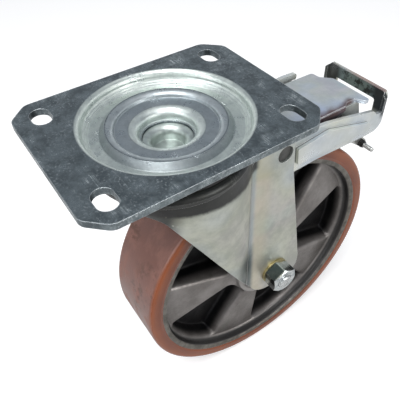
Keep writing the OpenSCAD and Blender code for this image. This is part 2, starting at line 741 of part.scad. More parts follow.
// Brake plate: channel with two ears on the pin and a flat tongue to the rear
module brake_plate() {
    top = -plate_top;
    w = brake_half_w;
    in_w = w - brake_t;
    fold_top = top + 6;
    color([0.6, 0.65, 0.72]) difference() {
        union() {
            intersection() {
                translate([0, brake_end_y + 0.5, 0]) rotate([90, 0, 0]) linear_extrude(72) difference() {
                    polygon(rounded([[-w, top - 30, 0], [w, top - 30, 0],
                                     [w, fold_top, 3], [-w, fold_top, 3]]));
                    polygon(rounded([[-in_w, top - 31, 0], [in_w, top - 31, 0],
                                     [in_w, fold_top - brake_t, 1], [-in_w, fold_top - brake_t, 1]]));
                }
                side_slab(-40, 40) polygon(ear_outline());
            }
            translate([0, 0, top - brake_t]) linear_extrude(brake_t) polygon(tongue_outline());
        }
        bar_x(pivot_hole_r, -40, 40, [0, pivot_y, -pivot_z]);
    }
}

// An ear and its flange seen from the side, as (y, z)
function ear_outline() =
    let (y = pivot_y, z = -pivot_z, end = brake_end_y)
    rounded([[y - 8.6, z + 7, 7], [y + 7, z + 7, 4], [y + 11, z + 3.6, 3], [end, z + 3.6, 0],
             [end, z + 0.5, 1], [end - 18, z - 6, 15], [y + 6, z - 8.4, 8], [y - 8.6, z - 7, 7]], 6);

// Plan of the flat web: between the flanges first, then over the full width
function tongue_outline() =
    let (w = brake_half_w, y0 = pivot_y + 10.4, y1 = brake_end_y, y2 = brake_plate_y)
    rounded([[-w + 0.6, y0, 0], [w - 0.6, y0, 0], [w - 0.6, y1, 2], [w - 3, y1 + 3.5, 2],
             [w - 3, y2 - 7.5, 1.5], [w + 3, y2 - 3.4, 0.8], [w + 3, y2, 0.8], [-w + 15, y2, 3],
             [-w + 8, y2 - 6.5, 3], [-w + 1, y2 - 7, 2], [-w + 0.6, y1, 2]], 5);

// Centre of the tread as the shoe meets it, in the shoe's rest position
function shoe_centre() =
    let (p = [pivot_y, -pivot_z], d = [axle_y, -axle_z] - p, a = shoe_swing)
    p + [d[0]*cos(a) - d[1]*sin(a), d[0]*sin(a) + d[1]*cos(a)];

// Point of the pad's flat face, off the tread by shoe_gap at shoe_touch, seen from the centre at an angle
function pad_face(a, lift = 0) =
    let (r0 = wheel_r + shoe_gap)
    shoe_centre() + (r0 + lift)*unit(shoe_touch) + r0*tan(a - shoe_touch)*unit(shoe_touch + 90);

// Shoe: flat pad across the tread, with two cheeks that hang from the brake plate
module brake_shoe() {
    c = shoe_centre();
    w = shoe_half_w;
    under = -plate_top - brake_t;
    seat_y = [brake_end_y + 0.5, brake_plate_y - 4];
    low = shoe_bolt_angle - 3;
    edge_r = shoe_bolt_off + shoe_bolt_r + 2.6;
    cheek = rounded([with_r(pad_face(low), 1.5), with_r(pad_face(shoe_a1), 0),
                     with_r(pad_face(shoe_a1, shoe_t), 0), [seat_y[0], under - 3, 0], [seat_y[0], under, 0],
                     [seat_y[1], under, 3], with_r(c + edge_r*unit(shoe_a0 + 2), 3),
                     with_r(c + edge_r*unit(low), 2)], 5);
    color([0.62, 0.64, 0.62]) difference() {
        union() {
            side_slab(-w, w) polygon([pad_face(shoe_a0), pad_face(shoe_a1), pad_face(shoe_a1, shoe_t),
                                      pad_face(shoe_a0, shoe_t)]);
            both_sides(w - brake_t, w) polygon(cheek);
            side_slab(-w, w) translate([seat_y[0], under - brake_t])
                square([seat_y[1] - seat_y[0] - 3, brake_t]);
        }
        bar_x(shoe_bolt_r, -40, 40, shoe_bolt_pos());
    }
}

function shoe_bolt_pos() =
    let (t = shoe_centre() + shoe_bolt_off*unit(shoe_bolt_angle))
    [0, t[0], t[1]];

module shoe_bolt() {
    pos = shoe_bolt_pos();
    color([0.82, 0.83, 0.82]) {
        bar_x(shoe_bolt_r, -shoe_half_w, shoe_half_w + shoe_bolt_out, pos);
        hex_x(shoe_hex, -shoe_half_w - 2.4, -shoe_half_w, pos, shoe_bolt_angle - 60);
    }
}

// Lock nut with a rounded collar
module shoe_nut() {
    x0 = shoe_half_w;
    hex_h = 2.4;
    pos = shoe_bolt_pos();
    color([0.1, 0.1, 0.1]) difference() {
        union() {
            hex_x(shoe_hex, x0, x0 + hex_h, pos, shoe_bolt_angle - 60);
            bar_x(shoe_bolt_r + 0.8, x0 + hex_h - eps, x0 + hex_h + 1.2, pos);
        }
        bar_x(shoe_bolt_r, x0 - 1, x0 + 6, pos);
    }
}

// Ring of points around the spring's wire, at angle a of the coil; run moves it along the tangent
function wire_ring(x, a, run) =
    [for (j = [0:spring_sides - 1])
        let (b = 360*j/spring_sides, p = (spring_coil_r + spring_wire_r*sin(b))*unit(a) + run*unit(a + 90))
        [x + spring_wire_r*cos(b), p[0], p[1]]];

// Torsion spring around the pin: one leg lies under the brake plate, the other ends behind the fork's head
module return_spring() {
    n = 160;
    m = spring_sides;
    a0 = 194.7;
    a1 = 295 + 360*spring_turns;
    rings = concat([wire_ring(-spring_half, a0, -spring_front_leg)],
                   [for (i = [0:n]) wire_ring(spring_half*(2*i/n - 1), a0 + (a1 - a0)*i/n, 0)],
                   [wire_ring(spring_half, a1, spring_rear_leg)]);
    last = len(rings) - 1;
    color([0.5, 0.5, 0.5]) translate([0, pivot_y, -pivot_z]) polyhedron([for (r = rings) each r],
        concat([[for (j = [0:m - 1]) j]],
               [for (i = [0:last - 1], j = [0:m - 1])
                   let (k = (j + 1) % m) [i*m + j, (i + 1)*m + j, (i + 1)*m + k, i*m + k]],
               [[for (j = [m - 1:-1:0]) last*m + j]]));
}

top_plate();
kingpin();
race_sleeve();
lower_race();
upper_balls();
lower_balls();
dust_seal();
fork();
axle_bolt();
axle_washers();
axle_nut();
axle_tube();
axle_collars();
bearing_spacer();
near_inner_ring();
near_bearing_balls();
near_outer_ring();
near_bearing_seals();
far_inner_ring();
far_bearing_balls();
far_outer_ring();
far_bearing_seals();
wheel_centre();
tread();
pivot_pin();
pivot_washers();
brake_pedal();
brake_plate();
brake_shoe();
shoe_bolt();
shoe_nut();
return_spring();
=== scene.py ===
"""Swivel castor: pressed plate on a ball race, flared fork, cast wheel with bonded tread, trailing brake."""

import json
import math

import bmesh
import bpy
from mathutils import Matrix, Vector


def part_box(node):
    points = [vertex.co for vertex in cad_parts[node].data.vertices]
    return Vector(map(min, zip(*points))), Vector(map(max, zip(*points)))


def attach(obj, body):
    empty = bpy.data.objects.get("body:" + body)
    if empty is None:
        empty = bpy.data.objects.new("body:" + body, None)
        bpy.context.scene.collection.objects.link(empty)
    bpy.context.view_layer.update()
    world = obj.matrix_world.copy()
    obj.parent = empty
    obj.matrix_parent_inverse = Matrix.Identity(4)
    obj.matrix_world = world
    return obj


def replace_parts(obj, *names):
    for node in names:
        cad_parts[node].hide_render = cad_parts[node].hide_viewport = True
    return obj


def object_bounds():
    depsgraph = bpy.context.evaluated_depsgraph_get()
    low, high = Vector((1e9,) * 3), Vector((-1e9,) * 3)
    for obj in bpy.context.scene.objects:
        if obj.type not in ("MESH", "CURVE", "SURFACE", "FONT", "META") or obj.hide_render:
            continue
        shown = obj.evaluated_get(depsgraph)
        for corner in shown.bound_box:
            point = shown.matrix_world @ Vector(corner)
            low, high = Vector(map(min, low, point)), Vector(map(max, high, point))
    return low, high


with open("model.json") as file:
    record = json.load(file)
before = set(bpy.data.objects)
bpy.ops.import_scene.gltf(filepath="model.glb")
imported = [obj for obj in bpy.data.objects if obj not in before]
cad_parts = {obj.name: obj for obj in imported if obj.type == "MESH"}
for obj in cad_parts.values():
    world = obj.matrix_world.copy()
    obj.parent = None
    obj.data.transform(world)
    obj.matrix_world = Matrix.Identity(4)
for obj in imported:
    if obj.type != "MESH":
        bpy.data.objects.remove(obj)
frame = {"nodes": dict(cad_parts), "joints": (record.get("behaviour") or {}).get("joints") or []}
cad_nodes = frame["nodes"]
cad_box = [list(corner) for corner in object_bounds()]


# Studio. The castor stands on its wheel on a pale floor. A wide soft lamp hangs overhead, and a weaker one
# stands on each side. Above the white backdrop the room is dim, which gives flat metal its slate tone.
bpy.context.scene.view_settings.view_transform = "Standard"


class Wiring:
    """Adds nodes to one tree. An input is given as a socket, a number or a colour."""

    def __init__(self, tree):
        self.tree = tree

    def put(self, socket, value):
        if isinstance(value, bpy.types.NodeSocket):
            self.tree.links.new(value, socket)
        elif value is not None:
            socket.default_value = (*value, 1.0) if socket.type == "RGBA" and len(value) == 3 else value

    def add(self, kind, inputs=None, **settings):
        node = self.tree.nodes.new(kind)
        for name, value in settings.items():
            setattr(node, name, value)
        for name, value in (inputs or {}).items():
            self.put(node.inputs[name], value)
        return node

    def axes(self, vector):
        """X, Y and Z of a vector."""
        return tuple(self.add("ShaderNodeSeparateXYZ", {0: vector}).outputs)

    def calc(self, operation, *values):
        return self.add("ShaderNodeMath", dict(enumerate(values)), operation=operation).outputs[0]

    def product(self, first, *others):
        for other in others:
            first = self.calc("MULTIPLY", first, other)
        return first

    def step(self, value, start, end, low=0.0, high=1.0):
        """A smooth change from low to high while value goes from start to end."""
        node = self.add("ShaderNodeMapRange", interpolation_type="SMOOTHSTEP")
        for index, given in enumerate((value, start, end, low, high)):
            self.put(node.inputs[index], given)
        return node.outputs[0]

    def band(self, value, rise, fall):
        """A mask that comes in while value crosses rise and goes out again while it crosses fall."""
        return self.product(self.step(value, *rise), self.step(value, *fall, 1.0, 0.0))

    def mix(self, share, first, second, blend="MIX"):
        node = self.add("ShaderNodeMix", {0: share, 6: first, 7: second}, data_type="RGBA", blend_type=blend)
        return node.outputs[2]

    def noise(self, vector, scale, detail=3.0, roughness=0.5):
        inputs = {"Vector": vector, "Scale": scale, "Detail": detail, "Roughness": roughness}
        return self.add("ShaderNodeTexNoise", inputs).outputs["Fac"]

    def stretched(self, vector, turn, scale):
        """The vector turned and stretched, for a pattern that runs along one direction."""
        inputs = {"Vector": vector, "Rotation": turn, "Scale": scale}
        return self.add("ShaderNodeMapping", inputs).outputs[0]

    def bump(self, height, distance, normal=None):
        inputs = {"Height": height, "Distance": distance, "Normal": normal}
        return self.add("ShaderNodeBump", inputs).outputs[0]

    def use(self, tree, inputs):
        """Places a shader group and returns its outputs."""
        return self.add("ShaderNodeGroup", inputs, node_tree=tree).outputs


def in_scene(name, data):
    """A new object that holds the data, linked to the scene."""
    made = bpy.data.objects.new(name, data)
    bpy.context.scene.collection.objects.link(made)
    return made


FLOOR_GAP, FLOOR_REACH = 0.0003, 4.0
FLOOR_Z = cad_box[0][2] - FLOOR_GAP
WHITE = (1.0, 1.0, 1.0)

world = bpy.data.worlds.new("studio")
bpy.context.scene.world = world
world.use_nodes = True
world.node_tree.nodes.clear()
w = Wiring(world.node_tree)
height = w.axes(w.add("ShaderNodeTexCoord").outputs["Generated"])[2]
room = w.mix(w.step(height, 0.26, 0.46), (0.92, 0.94, 0.96), (0.20, 0.23, 0.27))
room = w.mix(w.step(height, 0.80, 0.93), room, (0.85, 0.86, 0.88))
path = w.add("ShaderNodeLightPath")
seen = w.mix(path.outputs["Is Glossy Ray"], (0.40, 0.41, 0.43), room)
seen = w.mix(path.outputs["Is Camera Ray"], seen, WHITE)
w.add("ShaderNodeOutputWorld", {0: w.add("ShaderNodeBackground", {"Color": seen}).outputs[0]})


def lamp(name, place, aim, size, watts, colour=WHITE):
    data = bpy.data.lights.new(name, "AREA")
    data.shape, data.size, data.energy, data.color = "DISK", size, watts, colour
    made = in_scene(name, data)
    made.location = place
    made.rotation_euler = (Vector(aim) - Vector(place)).to_track_quat("-Z", "Y").to_euler()


lamp("overhead_lamp", (0.25, -0.35, 0.95), (0.0, 0.04, -0.08), 0.8, 11.0)
lamp("near_side_lamp", (1.0, 0.35, 0.15), (0.0, 0.05, -0.12), 0.6, 4.0, (1.0, 0.98, 0.95))
lamp("front_lamp", (0.1, -1.0, 0.2), (0.0, 0.05, -0.12), 0.6, 3.0, (0.95, 0.98, 1.0))

floor_mesh = bpy.data.meshes.new("floor")
floor_corners = [(x*FLOOR_REACH, y*FLOOR_REACH, FLOOR_Z) for x, y in ((-1, -1), (1, -1), (1, 1), (-1, 1))]
floor_mesh.from_pydata(floor_corners, [], [(0, 1, 2, 3)])
floor = in_scene("floor", floor_mesh)
pale = bpy.data.materials.new("pale_floor")
pale.use_nodes = True
pale.node_tree.nodes.clear()
w = Wiring(pale.node_tree)
path = w.add("ShaderNodeLightPath")
lit = w.calc("MAXIMUM", path.outputs["Is Camera Ray"], path.outputs["Is Glossy Ray"])
bounce = w.mix(path.outputs["Is Camera Ray"], (0.34, 0.34, 0.34), (0.86, 0.86, 0.86))
matt = w.add("ShaderNodeBsdfDiffuse", {"Color": bounce}).outputs[0]
glow = w.add("ShaderNodeEmission", {"Color": WHITE, "Strength": w.product(lit, 0.36)}).outputs[0]
w.add("ShaderNodeOutputMaterial", {0: w.add("ShaderNodeAddShader", {0: matt, 1: glow}).outputs[0]})
floor.data.materials.append(pale)


# Camera. Its place, turn and lens are solved from the photograph, whose picture is square. The middle of the
# lens lies a little off the middle of the picture, which the shift makes up for.
CAMERA_PLACE = (0.192945, -0.101695, 0.150301)
YAW, PITCH, ROLL = (math.radians(a) for a in (147.141, 43.472, -2.318))
LENS_PX, CENTRE_PX, PHOTO_PX, SENSOR = 490.152, (205.08, 189.12), 400.0, 36.0
forward = Vector((math.cos(YAW)*math.cos(PITCH), math.sin(YAW)*math.cos(PITCH), -math.sin(PITCH)))
level = forward.cross(Vector((0, 0, 1))).normalized()
above = level.cross(forward)
right = level*math.cos(ROLL) + above*math.sin(ROLL)
up = above*math.cos(ROLL) - level*math.sin(ROLL)
lens = bpy.data.cameras.new("camera")
lens.sensor_width = SENSOR
lens.lens = LENS_PX/PHOTO_PX*SENSOR
lens.shift_x = (PHOTO_PX/2 - CENTRE_PX[0])/PHOTO_PX
lens.shift_y = (CENTRE_PX[1] - PHOTO_PX/2)/PHOTO_PX
lens.clip_start = 0.01
camera = in_scene("camera", lens)
camera.matrix_world = Matrix.Translation(CAMERA_PLACE) @ Matrix((right, up, -forward)).transposed().to_4x4()
bpy.context.scene.camera = camera


# Top plate. Sheet steel 4 mm thick, blanked, pierced and pressed, then zinc plated. The flats are dull slate
# with fine scratches from handling; the dish's slopes and rings carry painted reflections, brighter and
# greener.
def group(name, inputs, outputs):
    """A shader group with float inputs, apart from Vector, and float outputs unless a kind is given."""
    tree = bpy.data.node_groups.new(name, "ShaderNodeTree")
    for socket, value in inputs.items():
        kind = "Vector" if socket == "Vector" else "Float"
        made = tree.interface.new_socket(socket, in_out="INPUT", socket_type="NodeSocket" + kind)
        if value is not None:
            made.default_value = value
    for socket, kind in outputs.items():
        tree.interface.new_socket(socket, in_out="OUTPUT", socket_type="NodeSocket" + (kind or "Float"))
    wiring = Wiring(tree)
    return wiring, wiring.add("NodeGroupInput").outputs, wiring.add("NodeGroupOutput").inputs


# Zinc on sheet: cloudy patches, a fine grain, pale specks and long thin scratches that run three ways
w, given, out = group("zinc_on_sheet", {"Vector": None, "Patches": 55.0, "Scratches": 0.5},
                      dict.fromkeys(("Cloud", "Grain", "Scratch", "Speck", "Height")))
cloud = w.step(w.noise(given["Vector"], given["Patches"], 6.0, 0.70), 0.36, 0.66)
grain = w.noise(given["Vector"], 1400.0, 2.0, 0.6)
lines = None
for turn, scale in (((0.2, 0.1, 0.6), (14, 480, 200)), ((0.0, 0.3, 2.3), (10, 430, 240)),
                    ((0.5, 0.0, 1.2), (18, 600, 320))):
    wander = w.noise(w.stretched(given["Vector"], turn, scale), 1.0, 1.0)
    line = w.step(w.calc("ABSOLUTE", w.calc("SUBTRACT", wander, 0.5)), 0.0, 0.02, 1.0, 0.0)
    lines = line if lines is None else w.calc("MAXIMUM", lines, line)
broken = w.step(w.noise(given["Vector"], 48.0, 4.0, 0.7), 0.52, 0.70)
scratch = w.product(lines, broken, given["Scratches"])
rubbed = w.step(w.noise(given["Vector"], 62.0, 3.0, 0.6), 0.36, 0.66)
speck = w.product(w.step(w.noise(given["Vector"], 680.0, 4.0, 0.72), 0.52, 0.64), rubbed)
for name, value in (("Cloud", cloud), ("Grain", grain), ("Scratch", scratch), ("Speck", speck),
                    ("Height", w.calc("SUBTRACT", w.product(grain, 0.5), w.product(scratch, 0.8)))):
    w.put(out[name], value)
zinc_on_sheet = w.tree

# Edge wear and highlight: the rounded normal of a sharp edge, and a mask where the surface turns, with which
# the finishes lighten their edges, part wear and part painted highlight
w, given, out = group("edge_wear_and_highlight", {"Radius": 0.0006}, {"Mask": None, "Normal": "Vector"})
rounded = w.add("ShaderNodeBevel", {"Radius": given["Radius"]}, samples=4).outputs[0]
plain = w.add("ShaderNodeNewGeometry").outputs["Normal"]
facing = w.add("ShaderNodeVectorMath", {0: rounded, 1: plain}, operation="DOT_PRODUCT").outputs["Value"]
w.put(out["Mask"], w.step(facing, 0.995, 0.86))
w.put(out["Normal"], rounded)
edge_wear_and_highlight = w.tree

# Passivation film: a faint colour that drifts from blue over straw to rose and green
w, given, out = group("passivation_film", {"Vector": None, "Size": 16.0}, {"Color": "Color"})
drift = w.noise(given["Vector"], given["Size"], 2.0, 0.55)
film = w.add("ShaderNodeValToRGB", {0: drift})
stops = ((0.30, (0.80, 0.86, 1.0)), (0.43, (0.97, 0.98, 0.98)), (0.53, (1.0, 0.97, 0.84)),
         (0.62, (1.0, 0.92, 0.88)), (0.72, (0.88, 0.97, 0.90)))
while len(film.color_ramp.elements) < len(stops):
    film.color_ramp.elements.new(0.5)
for element, (place, colour) in zip(film.color_ramp.elements, stops):
    element.position, element.color = place, (*colour, 1.0)
w.put(out["Color"], film.outputs["Color"])
passivation_film = w.tree


def shader(name, **sockets):
    """A new material with a Principled shader whose plain sockets are set here."""
    material = bpy.data.materials.new(name)
    material.use_nodes = True
    material.node_tree.nodes.clear()
    wiring = Wiring(material.node_tree)
    principled = wiring.add("ShaderNodeBsdfPrincipled", {
        key.replace("_", " "): value for key, value in sockets.items()})
    wiring.add("ShaderNodeOutputMaterial", {0: principled.outputs[0]})
    place = wiring.add("ShaderNodeTexCoord").outputs["Object"]
    return material, wiring, principled, place


def dress(wiring, principled, colour, roughness, normal):
    for name, value in (("Base Color", colour), ("Roughness", roughness), ("Normal", normal)):
        wiring.put(principled.inputs[name], value)


def coat(material, *names):
    """Gives CAD nodes their finish."""
    for name in names:
        mesh = cad_nodes[name].data
        mesh.materials.clear()
        mesh.materials.append(material)


def sheet_metal(name, dark, light, patches, scratches, bump=0.00006, metallic=0.85, rough=(0.26, 0.42),
                edge=(0.80, 0.83, 0.84), specks=0.0, film_size=None, paint=None):
    """Zinc-plated steel: two tones in clouds, specks, scratches, edges painted brighter as wear and
    highlight, and a film of colour.
    """
    material, wiring, principled, place = shader(name, Metallic=metallic)
    sheet = wiring.use(zinc_on_sheet, {"Vector": place, "Patches": patches, "Scratches": scratches})
    corner = wiring.use(edge_wear_and_highlight, {"Radius": 0.0006})
    colour = wiring.mix(sheet["Cloud"], dark, light)
    if specks:
        colour = wiring.mix(wiring.product(sheet["Speck"], specks), colour, edge)
    if paint:
        colour = paint(wiring, place, colour)
    if film_size:
        tint = wiring.use(passivation_film, {"Vector": place, "Size": film_size})["Color"]
        colour = wiring.mix(0.9, colour, tint, "MULTIPLY")
    colour = wiring.mix(wiring.product(sheet["Scratch"], 0.55), colour, edge)
    # Edges painted brighter, part wear and part painted highlight
    colour = wiring.mix(wiring.product(corner["Mask"], 0.75), colour, edge)
    tone = wiring.calc("MULTIPLY_ADD", sheet["Grain"], 0.35, wiring.product(sheet["Cloud"], 0.65))
    dress(wiring, principled, colour, wiring.step(tone, 0.1, 0.9, rough[1], rough[0]),
          wiring.bump(sheet["Height"], bump, corner["Normal"]))
    return material


def dish_painted_reflection(wiring, place, colour):
    """The dish's rings are painted in lighter tones, brighter and greener on the slopes than the flats
    between them, as painted reflections.
    """
    x, y, _ = wiring.axes(place)
    radius = wiring.calc("SQRT", wiring.calc("ADD", wiring.product(x, x), wiring.product(y, y)))
    mottled = wiring.step(wiring.noise(place, 210.0, 5.0, 0.7), 0.30, 0.62, 0.72, 1.0)
    for start, end, share, tone in ((0.0150, 0.0212, 0.95, (0.72, 0.78, 0.75)),
                                    (0.0212, 0.0288, 0.7, (0.47, 0.52, 0.55)),
                                    (0.0288, 0.0331, 0.75, (0.58, 0.63, 0.65)),
                                    (0.0338, 0.0370, 0.6, (0.50, 0.54, 0.55)),
                                    (0.0370, 0.0487, 0.95, (0.70, 0.76, 0.72))):
        inside = wiring.band(radius, (start - 0.0004, start + 0.0006), (end - 0.0006, end + 0.0004))
        colour = wiring.mix(wiring.product(inside, share, mottled), colour, tone)
    return colour


coat(sheet_metal("plate_steel", (0.095, 0.116, 0.127), (0.245, 0.285, 0.30), 95.0, 0.9, bump=0.00012,
                 edge=(0.66, 0.71, 0.73), specks=0.45, paint=dish_painted_reflection), "top_plate")


# Kingpin. Hollow rivet turned from steel bar and zinc plated. Its lip is rolled over the plate's seat and
# holds the swivel head together. The bore ends in a blind floor.
def turned_metal(name, base, rough, rings=900.0, metallic=0.9):
    """Turned or cold-headed steel: faint rings from the tool, fine grain and edges painted bright, part wear
    and part painted highlight.
    """
    material, wiring, principled, place = shader(name, Metallic=metallic)
    corner = wiring.use(edge_wear_and_highlight, {"Radius": 0.0004})
    ring = wiring.noise(wiring.stretched(place, (0, 0, 0), (rings, 40, 40)), 1.0, 2.0)
    grain = wiring.noise(place, 1100.0, 3.0, 0.6)
    dull = wiring.mix(wiring.step(wiring.noise(place, 190.0, 4.0), 0.35, 0.7), base, [0.72*c for c in base])
    # Edges painted bright, part wear and part painted highlight
    colour = wiring.mix(wiring.product(corner["Mask"], 0.6), dull, (0.86, 0.87, 0.87))
    dress(wiring, principled, colour, wiring.step(grain, 0.2, 0.8, rough - 0.07, rough + 0.12),
          wiring.bump(wiring.calc("ADD", ring, grain), 0.00004, corner["Normal"]))
    return material


coat(turned_metal("rivet_steel", (0.62, 0.68, 0.65), 0.34), "kingpin")


# Swivel head. Two rings of loose balls run in pressed tracks; a sleeve sets their play, and a rubber lip
# keeps dirt out of the upper ring.
def moulded(name, base, rough):
    """Rubber or plastic with a matt, faintly pebbled skin and a dusting that gathers in clouds."""
    material, wiring, principled, place = shader(name, Metallic=0.0)
    dust = wiring.step(wiring.noise(place, 90.0, 4.0), 0.45, 0.8)
    pebble = wiring.noise(place, 900.0, 3.0, 0.6)
    dress(wiring, principled, wiring.mix(dust, base, [1.25*c + 0.02 for c in base]),
          wiring.step(pebble, 0.2, 0.8, rough - 0.08, rough + 0.1), wiring.bump(pebble, 0.00006))
    return material


oiled_steel = turned_metal("oiled_steel", (0.17, 0.17, 0.17), 0.38)
polished_steel = turned_metal("polished_steel", (0.78, 0.78, 0.80), 0.10)
seal_rubber = moulded("seal_rubber", (0.012, 0.012, 0.013), 0.62)
coat(oiled_steel, "race_sleeve")
coat(sheet_metal("race_steel", (0.42, 0.43, 0.42), (0.6, 0.61, 0.58), 60.0, 0.4), "lower_race")
coat(polished_steel, "upper_balls", "lower_balls")
coat(seal_rubber, "dust_seal")


# Fork. One pressed sheet: round head, two wings and two legs. The zinc is pale with a drifting film; a cool
# line of painted shade follows the bend and a straw band lies behind it. Painted shade and shadow darken
# the bend's valley, the wings' front and the head's shoulder under the plate.
def along_the_bend(wiring, place, colour):
    """Bands beside the bend, painted shade along it and in its valley, painted shadow in smudges on the front
    and on the head's shoulder under the plate.
    """
    x, back, rise = wiring.axes(place)
    leg = wiring.step(wiring.calc("ABSOLUTE", x), 0.030, 0.032)
    straw = wiring.band(back, (0.0365, 0.040), (0.044, 0.054))
    colour = wiring.mix(wiring.product(straw, leg, 0.5), colour, (0.62, 0.59, 0.46))
    # Painted shade along the curve of the bend, with a cool tint
    bend_painted_shade = wiring.band(back, (0.0306, 0.0336), (0.0356, 0.0386))
    colour = wiring.mix(wiring.product(bend_painted_shade, leg, 0.7), colour, (0.34, 0.41, 0.46))
    # Painted shade in the valley at the foot of the bend
    valley_painted_shade = wiring.product(wiring.step(rise, -0.096, -0.116),
                          wiring.band(back, (0.018, 0.028), (0.035, 0.041)))
    colour = wiring.mix(wiring.product(valley_painted_shade, 0.85), colour, (0.06, 0.08, 0.09))
    olive = wiring.product(wiring.step(back, -0.012, -0.030), wiring.step(rise, -0.047, -0.036))
    colour = wiring.mix(wiring.product(olive, 0.5), colour, (0.36, 0.37, 0.20))
    cloud = wiring.noise(place, 120.0, 5.0, 0.7)
    # Painted shadow in dark smudges on the wing's front
    front_painted_shadow = wiring.product(wiring.step(back, -0.014, -0.024), wiring.step(cloud, 0.34, 0.46),
                            wiring.step(rise, -0.068, -0.056))
    colour = wiring.mix(wiring.product(front_painted_shadow, 0.92), colour, (0.018, 0.022, 0.03))
    # Painted shadow of the plate over the head's shoulder
    shoulder = wiring.step(wiring.calc("MULTIPLY_ADD", cloud, 0.004, rise), -0.0355, -0.0315, 0.0, 0.95)
    shoulder_painted_shadow = wiring.product(shoulder, wiring.step(back, 0.041, 0.036))
    return wiring.mix(shoulder_painted_shadow, colour, (0.012, 0.013, 0.015))


coat(sheet_metal("fork_zinc", (0.40, 0.43, 0.42), (0.56, 0.59, 0.57), 38.0, 0.35, metallic=0.72,
                 rough=(0.30, 0.44), edge=(0.76, 0.78, 0.76), film_size=14.0, paint=along_the_bend), "fork")


# Axle. M12 hexagon bolt of plated steel through both legs and the bearing tube. A plain nut holds it, with a
# yellow passivated washer under the nut and one under the head.
def lathe(profile, sides, place, turn=0.0):
    """Turns a half section of (x, radius) about the axis along X through place. Both ends are closed."""
    verts, faces = [], []
    for x, r in profile:
        for k in range(sides):
            a = 2*math.pi*k/sides + turn
            verts.append((place[0] + x, place[1] + r*math.cos(a), place[2] + r*math.sin(a)))
    last = len(profile) - 1
    for i in range(last):
        for k in range(sides):
            j = (k + 1) % sides
            faces.append((i*sides + k, i*sides + j, (i + 1)*sides + j, (i + 1)*sides + k))
    faces.append(tuple(range(sides - 1, -1, -1)))
    faces.append(tuple(last*sides + k for k in range(sides)))
    return verts, faces


def mounted(name, mesh, body, smooth):
    """Turns a mesh's faces outwards, keeps edges over the smooth angle sharp and puts it on its body."""
    edit = bmesh.new()
    edit.from_mesh(mesh)
    bmesh.ops.remove_doubles(edit, verts=edit.verts, dist=1e-7)
    bmesh.ops.recalc_face_normals(edit, faces=edit.faces)
    edit.to_mesh(mesh)
    edit.free()
    mesh.shade_smooth()
    mesh.set_sharp_from_angle(angle=math.radians(smooth))
    made = in_scene(name, mesh)
    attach(made, body)
    return made


def piece(name, shells, material, body, smooth=35):
    """One object of closed shells."""
    mesh = bpy.data.meshes.new(name)
    verts, faces = [], []
    for shell_verts, shell_faces in shells:
        faces += [tuple(i + len(verts) for i in face) for face in shell_faces]
        verts += shell_verts
    mesh.from_pydata(verts, [], faces)
    mesh.materials.append(material)
    return mounted(name, mesh, body, smooth)


# Wire swept along a path, for threads and springs
wire_tree = bpy.data.node_groups.new("swept_wire", "GeometryNodeTree")
wire_tree.interface.new_socket("Geometry", in_out="INPUT", socket_type="NodeSocketGeometry")
for socket, kind, usual in (("Wire Radius", "Float", 0.001), ("Sides", "Int", 12),
                            ("Finish", "Material", None)):
    made = wire_tree.interface.new_socket(socket, in_out="INPUT", socket_type="NodeSocket" + kind)
    if usual is not None:
        made.default_value = usual
wire_tree.interface.new_socket("Geometry", in_out="OUTPUT", socket_type="NodeSocketGeometry")
w = Wiring(wire_tree)
given = w.add("NodeGroupInput").outputs
section = w.add("GeometryNodeCurvePrimitiveCircle", {"Resolution": given["Sides"],
                                                     "Radius": given["Wire Radius"]})
swept = w.add("GeometryNodeCurveToMesh", {"Curve": given["Geometry"], "Profile Curve": section.outputs[0],
                                          "Fill Caps": True})
real = w.add("GeometryNodeRealizeInstances", {0: swept.outputs[0]})
finished = w.add("GeometryNodeSetMaterial", {"Geometry": real.outputs[0], "Material": given["Finish"]})
w.add("NodeGroupOutput", {"Geometry": finished.outputs[0]})


def wire(name, points, radius, sides, material, body):
    """Sweeps a wire along the points and keeps the plain mesh."""
    curve = bpy.data.curves.new(name + "_path", "CURVE")
    curve.dimensions = "3D"
    spline = curve.splines.new("POLY")
    spline.points.add(len(points) - 1)
    for point, place in zip(spline.points, points):
        point.co = (*place, 1.0)
    carrier = in_scene(name + "_path", curve)
    modifier = carrier.modifiers.new("sweep", "NODES")
    modifier.node_group = wire_tree
    inputs = {"Wire Radius": radius, "Sides": sides, "Finish": material}
    for item in wire_tree.interface.items_tree:
        if item.in_out == "INPUT" and item.name in inputs:
            modifier[item.identifier] = inputs[item.name]
    graph = bpy.context.evaluated_depsgraph_get()
    mesh = bpy.data.meshes.new_from_object(carrier.evaluated_get(graph))
    mesh.name = name
    bpy.data.objects.remove(carrier)
    return mounted(name, mesh, body, smooth=60)


